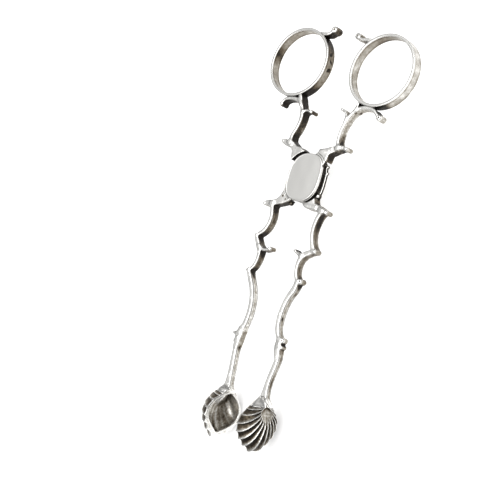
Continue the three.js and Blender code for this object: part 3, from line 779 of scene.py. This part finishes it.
def finger_ring(node):
    """A ring of strip with a worn groove near each edge, and dents in the back one."""
    centre, outer = ring_place(node)
    count = 420
    profile = rounded_band(RING_INNER, outer, 0.0, DEPTH, RING_EDGE, along_wall=24)
    points, faces = loft(turned(profile, count), closed=True)
    turn = np.arctan2(points[:, 1], points[:, 0])
    radius = np.hypot(points[:, 0], points[:, 1])
    outward = points / np.maximum(radius, 1e-6)[:, None] * (1, 1, 0)
    outside = radius > (RING_INNER + outer) / 2
    from_face = MIDDLE - np.abs(points[:, 2] - MIDDLE)
    on_wall = smoothstep(0.1, 0.3, from_face)
    openness = 0.5 + 0.2 * (1 - on_wall)
    worn = 0.4 + 0.6 * np.sin(turn + 0.6 + 2.5 * outside) ** 2
    groove = np.exp(-(((from_face - 0.55) / 0.14) ** 2)) * worn
    shift = 0.035 * unevenness(points, 9.0) - 0.09 * groove * np.where(outside, 1, -1)
    # Painted shade with tarnish: less openness darkens the groove, as in any hollow.
    openness = openness - 0.35 * groove
    stain_and_shade = np.zeros(len(points))
    for degrees, spread, outer_amount, inner_amount in RING_STAINS_AND_SHADE[node]:
        away = (np.degrees(turn) - degrees + 180) % 360 - 180
        stain_and_shade = stain_and_shade + np.exp(-((away / spread) ** 2)) * np.where(outside, outer_amount, inner_amount)
    if node == "back_finger_ring":
        for degrees, height, size, depth, slant in PUNCHES:
            rise = points[:, 2] - height * DEPTH
            away = (turn - math.radians(degrees)) * outer + slant * rise
            dent = np.exp(-((away / (0.75 * size)) ** 4) - (rise / size) ** 4) * outside * on_wall
            boss = np.exp(-((away / (0.3 * size)) ** 2) - ((rise + 0.2 * size) / (0.4 * size)) ** 2) * outside
            shift = shift - depth * (dent - boss)
            stain_and_shade = stain_and_shade + 0.7 * dent - 0.5 * boss
    points = points + outward * shift[:, None]
    points[:, 2] += 0.03 * unevenness(points[:, ::-1] * (0, 1, 1), 11.0) * (points[:, 2] > MIDDLE) - 0.02
    points[:, :2] += centre
    make_piece(node, points, faces, "polished_silver", openness, stain_and_shade * on_wall)


def rivet_and_washer():
    """The two hidden pieces of the hinge, with broken edges."""
    shaft, head = BORE - RIVET["clearance"], (RIVET_BOX[1] - RIVET_BOX[0])[0] / 2
    top, bottom = RIVET_BOX[1][2], RIVET_BOX[0][2]
    under, edge = RIVET["head"], RIVET["edge"]
    upper = [(shaft, top - under), (head - edge, top - under), (head, top - under + edge), (head, top - edge),
             (head - edge, top), (0.6 * head, top), (0.1, top)]
    lower = [(r, top + bottom - z) for r, z in upper][::-1]
    middle = [(shaft, z) for z in np.linspace(bottom + under, top - under, 6)[1:-1]]
    count = 96
    points, faces = capped(*loft(turned(lower + middle + upper, count)), count)
    make_piece("pivot_rivet", points, faces, "cast_silver")
    radius = (WASHER_BOX[1] - WASHER_BOX[0])[0] / 2
    band = rounded_band(BORE, radius, WASHER_BOX[0][2], WASHER_BOX[1][2], 0.08, along_wall=2, corner=4)
    points, faces = loft(turned(band, count), closed=True)
    make_piece("hinge_washer", points, faces, "cast_silver")


# ---- Shells ----


def from_gradient(field, step):
    """Turns any smooth field that is zero on the surface into a distance near it."""
    steepness = np.sqrt(sum(g**2 for g in np.gradient(field, step)))
    return field / np.maximum(steepness, 0.02)


def shell_matrix(plan):
    """From the shell's own frame (height, down, across) to the arm's frame."""
    x, y = plan["rim"]
    facing = plan["facing"]
    lean = facing * CLOSING_ANGLE / 2
    flip = Matrix.Diagonal((-facing, -1, 1, 1))
    return (
        Matrix.Translation((x, y, MIDDLE))
        @ Matrix.Rotation(-lean, 4, "Z")
        @ Matrix.Rotation(-plan["skew"], 4, "X")
        @ Matrix.Rotation(SHELL["turn"], 4, "Y")
        @ flip
        @ Matrix.Translation((0, -SHELL["up"] * SHELL["length"], 0))
    )


def rim_reach():
    """By direction from the umbo: the angle, the rim's distance, and how slantwise a ray crosses the rim."""
    half = [(down * SHELL["length"], across * SHELL["half_breadth"]) for down, across in RIM_OUTLINE]
    loop = half + [(SHELL["length"], 0)] + [(down, -across) for down, across in half][::-1]
    curve = smooth_curve(loop, closed=True, spacing=0.15)[:-1]
    angle = np.arctan2(curve[:, 1], curve[:, 0] - SHELL["umbo_inset"])
    reach = np.hypot(curve[:, 1], curve[:, 0] - SHELL["umbo_inset"])
    order = np.argsort(angle)
    angle, reach = angle[order], reach[order]
    slant = np.clip(np.hypot(1, np.gradient(reach, angle) / reach), 1, 1.7)
    return angle, reach, np.convolve(np.pad(slant, 6, mode="wrap"), np.full(13, 1 / 13), mode="valid")


def shell(node, plan):
    """A scallop shell, hollow towards the other arm, with its flutes spreading from the umbo at its neck."""
    low, high = node_box(node)
    grid = Grid(low - 0.15, high + 0.15, SHELL_STEP)
    rows = np.array(shell_matrix(plan).inverted())[:3]
    height, down, across = (a * grid.x + b * grid.y + c * grid.z + d for a, b, c, d in rows)
    angle = np.arctan2(across, down - SHELL["umbo_inset"])
    out = np.hypot(across, down - SHELL["umbo_inset"])
    turns, reaches, slants = rim_reach()
    reach = np.interp(angle, turns, reaches, period=2 * math.pi)
    slant = np.interp(angle, turns, slants, period=2 * math.pi)
    share = out / reach
    turn = (angle / SHELL["flute_span"] + 0.5) * SHELL["flutes"]
    from_crest = np.abs(2 * (turn - np.floor(turn)) - 1)  # 1 on a crest, 0 in the middle of a flute
    flute = (1 - from_crest**2.6) * smoothstep(0, 0.04, SHELL["flute_span"] / 2 - np.abs(angle))
    flute = flute * smoothstep(*SHELL["flute_start"], share)

    swell = smoothstep(0, 0.45, share) * (0.5 + 0.5 * np.cos(angle))
    top = SHELL["umbo_height"] + (SHELL["height"] - SHELL["umbo_height"]) * swell
    outer_reach = reach * (1 - SHELL["scallop"] * flute)
    outer_top = top - SHELL["flute_depth"] * flute
    outer = (out / outer_reach) ** 3 + (np.maximum(height, 0) / outer_top) ** 2 - 1
    lip = SHELL["wall"] * slant + SHELL["tip_lip"] * np.exp(-((angle / 0.55) ** 2))
    inner = (out / (reach - lip)) ** 3 + (np.maximum(height, 0) / (top - SHELL["wall"])) ** 2 - 1
    body = from_gradient(outer, grid.step)
    hollow = from_gradient(inner, grid.step)

    place = (FLARE["flatness"] * (height - FLARE["height"]), down, across)
    flare = taper(place, FLARE["start"], FLARE["end"], *FLARE["radii"]) / FLARE["flatness"]
    cap = join(body, flare, 1.6)
    stem = CASTINGS[node.replace("shell", "grip_stem")]["strips"][0]
    field = join(cap, strip_field(grid, *stem), 2.2 * smoothstep(-1.3, 0.6, down) + 0.05)
    field = cut(field, -hollow, 0.12)
    field = cut(field, -height - 0.8 * (1 - smoothstep(-1.2, 1.0, down)), 0.25)
    uncut = field
    field = np.maximum(field, grid.y - high[1] - OVERLAP)
    outside = smoothstep(-0.3, 0.3, hollow)
    near_side = smoothstep(-2.5, 1.5, across)
    stain_and_shade = (0.55 + 0.35 * near_side) * flute * outside * smoothstep(0.1, 0.7, height)
    inside = 1 - outside
    # Painted shade darkens the rim's lip, toning down its bright reflection, and the inside is painted paler to
    # offset the painted ambient-occlusion shade in the bowl.
    stain_and_shade = stain_and_shade + SHELL["lip_shade"] * (1 - smoothstep(0.1, 0.5, height)) - 0.25 * inside
    stain_and_shade = stain_and_shade + 0.38 * outside * (1 - smoothstep(0.2, 0.5, share))
    for blot_down, blot_across, size, amount in plan["blots"]:
        away = ((down - blot_down) ** 2 + (across - blot_across) ** 2) / size**2
        stain_and_shade = stain_and_shade + amount * inside * np.exp(-away)
    sculpt(node, field, grid, "shell_silver", swell=0.015, pits=40, uncut=uncut, stain_and_shade=stain_and_shade)


def taper(place, start, end, start_radius, end_radius):
    """Distance from a round-ended taper between two points."""
    start, end = np.array(start, float), np.array(end, float)
    line = end - start
    t = sum((place[k] - start[k]) * line[k] for k in range(3)) / (line @ line)
    t = np.clip(t, 0, 1)
    away = np.sqrt(sum((place[k] - start[k] - t * line[k]) ** 2 for k in range(3)))
    return away - (start_radius + t * (end_radius - start_radius))


# ---- Materials ----


class Nodes:
    """A material's nodes, made with one short call each."""

    def __init__(self, name):
        self.material = bpy.data.materials.new(name)
        self.material.use_nodes = True
        self.tree = self.material.node_tree
        self.tree.nodes.clear()

    def make(self, kind, inputs=None, **settings):
        node = self.tree.nodes.new(kind)
        for key, value in settings.items():
            setattr(node, key, value)
        for key, value in (inputs or {}).items():
            if isinstance(value, bpy.types.NodeSocket):
                self.tree.links.new(value, node.inputs[key])
            else:
                node.inputs[key].default_value = value
        return node

    def math(self, operation, a, b=0.0, clamp=False):
        return self.make("ShaderNodeMath", {0: a, 1: b}, operation=operation, use_clamp=clamp).outputs[0]

    def noise(self, coords, scale, detail=4.0, roughness=0.6):
        node = self.make(
            "ShaderNodeTexNoise", {"Vector": coords, "Scale": scale, "Detail": detail, "Roughness": roughness}
        )
        return node.outputs["Fac"]

    def ramp(self, value, low, high):
        """0 below low, 1 above high, smooth between."""
        inputs = {"Value": value, "From Min": low, "From Max": high}
        return self.make("ShaderNodeMapRange", inputs, interpolation_type="SMOOTHSTEP").outputs["Result"]


def mix_colours(nodes, factor, a, b):
    """Mixes two colours; each is a socket or an (r, g, b)."""
    node = nodes.tree.nodes.new("ShaderNodeMix")
    node.data_type = "RGBA"
    sockets = {s.name: s for s in node.inputs if s.type == "RGBA"}
    for name, value in (("A", a), ("B", b)):
        if isinstance(value, bpy.types.NodeSocket):
            nodes.tree.links.new(value, sockets[name])
        else:
            sockets[name].default_value = (*value, 1)
    factor_socket = node.inputs[0]
    if isinstance(factor, bpy.types.NodeSocket):
        nodes.tree.links.new(factor, factor_socket)
    else:
        factor_socket.default_value = factor
    return next(s for s in node.outputs if s.type == "RGBA")


# Silver's colours, from clean to black, through tarnish and through painted shade.
BRIGHT = (0.90, 0.89, 0.86)
GREY = (0.36, 0.335, 0.29)
BROWN = (0.12, 0.095, 0.065)
BLACK = (0.030, 0.026, 0.022)


def silver(name, wall, shade, bias, grain, hollow=1.2, roughness=0.22, mottling=0.9):
    """Silver, darkened by tarnish and by painted shade on its side walls, in its hollows, and where another
    surface is near (painted ambient occlusion). The bias darkens or brightens it all over, and mottling makes
    it uneven."""
    nodes = Nodes(name)
    place = nodes.make("ShaderNodeTexCoord")
    coords = nodes.make(
        "ShaderNodeVectorMath", {0: place.outputs["Object"], 1: (1 / MM,) * 3}, operation="MULTIPLY"
    ).outputs["Vector"]
    normal = nodes.make("ShaderNodeSeparateXYZ", {"Vector": place.outputs["Normal"]}).outputs["Z"]
    steep = nodes.math("SUBTRACT", 1.0, nodes.math("ABSOLUTE", normal))
    openness = nodes.make("ShaderNodeAttribute", attribute_name="open").outputs["Fac"]
    shadow = nodes.make("ShaderNodeAmbientOcclusion", {"Distance": 2.2 * MM}, samples=8).outputs["AO"]

    cloud = nodes.noise(coords, 0.45, 3.0)
    mottle = nodes.noise(coords, 1.9, 5.0, 0.65)
    specks = nodes.noise(coords, 5.5, 2.0, 0.5)

    stain_and_shade = nodes.make("ShaderNodeAttribute", attribute_name="stain_and_shade").outputs["Fac"]
    # How dark the silver is painted: the side walls are painted shade with tarnish, the per-vertex stain is
    # tarnish with painted shadow in places, the hollows are painted shade with tarnish, the ambient occlusion
    # is painted shade, and the mottling and clouds are tarnish.
    amount = nodes.math("MULTIPLY", nodes.ramp(steep, 0.35, 0.95), wall)
    amount = nodes.math("ADD", amount, stain_and_shade)
    amount = nodes.math("ADD", amount, nodes.math("MULTIPLY", nodes.math("SUBTRACT", 0.5, openness), hollow))
    amount = nodes.math("ADD", amount, nodes.math("MULTIPLY", nodes.math("SUBTRACT", 0.85, shadow), shade))
    amount = nodes.math("ADD", amount, nodes.math("MULTIPLY", nodes.math("SUBTRACT", mottle, 0.5), mottling))
    amount = nodes.math("ADD", amount, nodes.math("MULTIPLY", nodes.math("SUBTRACT", cloud, 0.5), 0.7))
    amount = nodes.math("ADD", amount, bias)

    speck = nodes.math("MULTIPLY", nodes.ramp(specks, 0.66, 0.74), nodes.ramp(amount, 0.05, 0.35))
    dull = nodes.ramp(amount, 0.0, 0.42)
    brown = nodes.ramp(amount, 0.3, 0.75)
    black = nodes.math("MAXIMUM", nodes.ramp(amount, 0.62, 1.0), nodes.math("MULTIPLY", speck, 0.8))
    colour = mix_colours(nodes, dull, BRIGHT, GREY)
    colour = mix_colours(nodes, brown, colour, BROWN)
    colour = mix_colours(nodes, black, colour, BLACK)

    rough = nodes.math("ADD", roughness, nodes.math("MULTIPLY", dull, 0.14))
    rough = nodes.math("ADD", rough, nodes.math("MULTIPLY", black, 0.2))
    rough = nodes.math("ADD", rough, nodes.math("MULTIPLY", nodes.math("SUBTRACT", mottle, 0.5), 0.12))

    fine = nodes.noise(coords, 9.0, 3.0, 0.6)
    height = nodes.math("ADD", nodes.math("MULTIPLY", mottle, 0.6), nodes.math("MULTIPLY", fine, 0.4))
    height = nodes.math("SUBTRACT", height, nodes.math("MULTIPLY", speck, 0.5))
    bump = nodes.make("ShaderNodeBump", {"Height": height, "Strength": grain, "Distance": 0.05 * MM})
    shader = nodes.make(
        "ShaderNodeBsdfPrincipled",
        {"Base Color": colour, "Metallic": 1.0, "Roughness": rough, "Normal": bump.outputs["Normal"]},
    )
    nodes.make("ShaderNodeOutputMaterial", {"Surface": shader.outputs["BSDF"]})
    return nodes.material


MATERIALS = {
    "polished_silver": silver("polished_silver", wall=0.3, shade=0.9, bias=-0.06, grain=0.15, mottling=0.35),
    "cast_silver": silver("cast_silver", wall=0.62, shade=0.7, bias=-0.05, grain=0.4, roughness=0.24),
    "shell_silver": silver("shell_silver", 0.1, 1.1, 0.12, grain=0.4, hollow=2.4, roughness=0.26),
}

# ---- Making everything ----

for node, plan in CASTINGS.items():
    casting(node, plan)
for node, plan in SHELLS.items():
    shell(node, plan)
for arm in ("front", "back"):
    cover_plate(f"{arm}_cover_plate")
    finger_ring(f"{arm}_finger_ring")
hinge_plate("front_hinge_plate", [FRONT_ROOT, FRONT_ARM_ROOT, SHOULDER], [])
hinge_plate("back_hinge_plate", [BACK_ROOT, BACK_ARM_ROOT], BACK_BEADS)
rivet_and_washer()


# ---- Stage ----


def make_floor():
    """A pale sheet that gives off a little light, so that it stays plain round the object."""
    size = 3.0
    z = cad_box[0][2]
    corners = [(-size, -size, z), (size, -size, z), (size, size, z), (-size, size, z)]
    mesh = bpy.data.meshes.new("floor")
    mesh.from_pydata(corners, [], [(0, 1, 2, 3)])
    nodes = Nodes("floor_paint")
    paint = nodes.make("ShaderNodeBsdfDiffuse", {"Color": (0.8, 0.8, 0.8, 1)})
    glow = nodes.make("ShaderNodeEmission", {"Strength": 0.5})
    both = nodes.make("ShaderNodeAddShader", {0: paint.outputs["BSDF"], 1: glow.outputs["Emission"]})
    nodes.make("ShaderNodeOutputMaterial", {"Surface": both.outputs["Shader"]})
    mesh.materials.append(nodes.material)
    floor = bpy.data.objects.new("floor", mesh)
    bpy.context.scene.collection.objects.link(floor)


def make_world():
    """A studio tent: bright overhead, and dimmer towards the horizon."""
    world = bpy.data.worlds.new("studio")
    world.use_nodes = True
    tree = world.node_tree
    place = tree.nodes.new("ShaderNodeTexCoord")
    split = tree.nodes.new("ShaderNodeSeparateXYZ")
    ramp = tree.nodes.new("ShaderNodeValToRGB")
    tree.links.new(place.outputs["Generated"], split.inputs["Vector"])
    tree.links.new(split.outputs["Z"], ramp.inputs["Fac"])
    steps = ramp.color_ramp.elements
    steps[0].position, steps[0].color = 0.0, (0.16, 0.16, 0.17, 1)
    steps[1].position, steps[1].color = 1.0, (0.95, 0.95, 0.95, 1)
    for position, level in ((0.3, 0.25), (0.55, 0.45), (0.8, 0.7)):
        steps.new(position).color = (level, level, level, 1)
    background = tree.nodes["Background"]
    tree.links.new(ramp.outputs["Color"], background.inputs["Color"])
    background.inputs["Strength"].default_value = 1.0
    bpy.context.scene.world = world


def soft_light(name, place, aim, size, power):
    """A square lamp, in metres and watts."""
    lamp = bpy.data.lights.new(name, "AREA")
    lamp.size = size
    lamp.energy = power
    obj = bpy.data.objects.new(name, lamp)
    obj.location = place
    obj.rotation_euler = (Vector(aim) - Vector(place)).to_track_quat("-Z", "Y").to_euler()
    bpy.context.scene.collection.objects.link(obj)


CAMERA = {
    "azimuth": math.radians(85.5),
    "elevation": math.radians(47.3),
    "roll": math.radians(70.3),  # clockwise
    "distance": 0.2799,
    "aim": Vector((-0.0164, -0.0213, DEPTH * MM)),
    "lens": 72.9,
}


def make_camera():
    """The camera looks at its aim from an azimuth and an elevation, rolled about its line of sight."""
    azimuth, elevation = CAMERA["azimuth"], CAMERA["elevation"]
    level = math.cos(elevation)
    back = Vector((math.sin(azimuth) * level, -math.cos(azimuth) * level, math.sin(elevation)))
    upright = back.to_track_quat("Z", "Y")
    camera = bpy.data.cameras.new("camera")
    camera.lens = CAMERA["lens"]
    camera.sensor_width = 36
    camera.clip_start = 0.01
    obj = bpy.data.objects.new("camera", camera)
    turn = Matrix.Rotation(-CAMERA["roll"], 4, "Z")
    obj.matrix_world = (
        Matrix.Translation(CAMERA["aim"] + back * CAMERA["distance"]) @ upright.to_matrix().to_4x4() @ turn
    )
    bpy.context.scene.collection.objects.link(obj)
    bpy.context.scene.camera = obj


make_floor()
make_world()
soft_light("overhead", (0.05, 0.0, 0.8), (0, 0, 0), 0.9, 5.0)
make_camera()
bpy.context.scene.view_settings.view_transform = "Standard"
